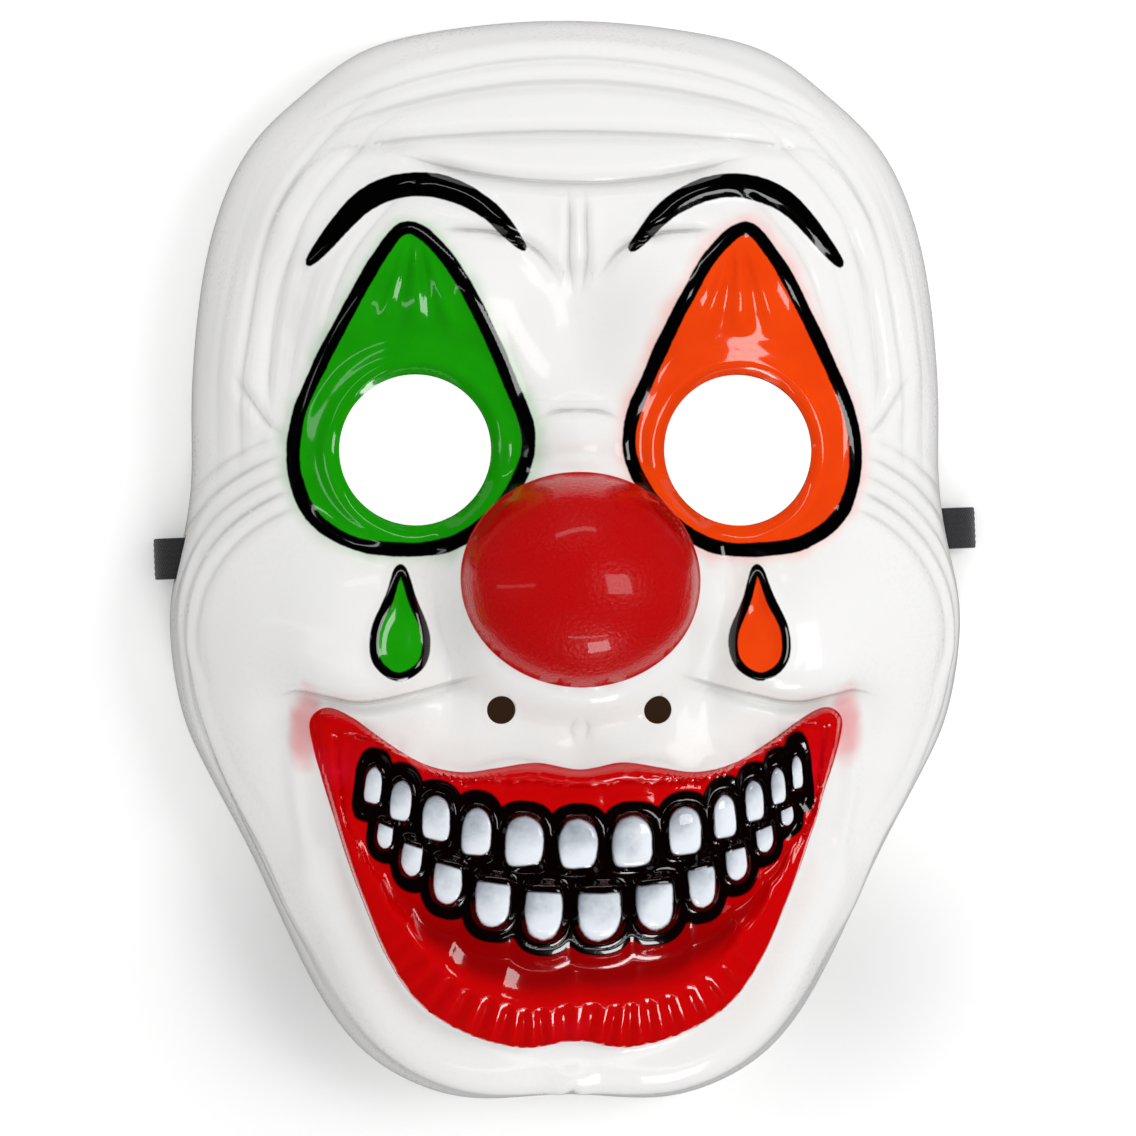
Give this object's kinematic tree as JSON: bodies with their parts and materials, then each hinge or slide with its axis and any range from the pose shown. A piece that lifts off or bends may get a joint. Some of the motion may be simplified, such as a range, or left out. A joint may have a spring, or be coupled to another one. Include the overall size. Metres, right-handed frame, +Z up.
{
  "type": "clown mask with elastic strap",
  "caption": "Full-face clown mask: a thin glossy white formed plastic shell with round eye holes, a ball nose, a wide toothy grin and painted eye patches, worn on an elastic strap",
  "frame": {"origin": "On the table, under the middle of the mask, which lies face up on its trimmed edge", "axes": "+Z up, out of the face; +Y towards the crown; +X towards the viewer's right"},
  "size_m": [0.1906, 0.2492, 0.0877],
  "materials": {
    "white_plastic": "glossy white formed sheet, spray and brush painted in red, green, orange and black",
    "black_elastic": "ribbed woven elastic, matt black"
  },
  "bodies": {
    "root": {"mask_shell": "white_plastic", "elastic_strap": "black_elastic"}
  },
  "joints": []
}
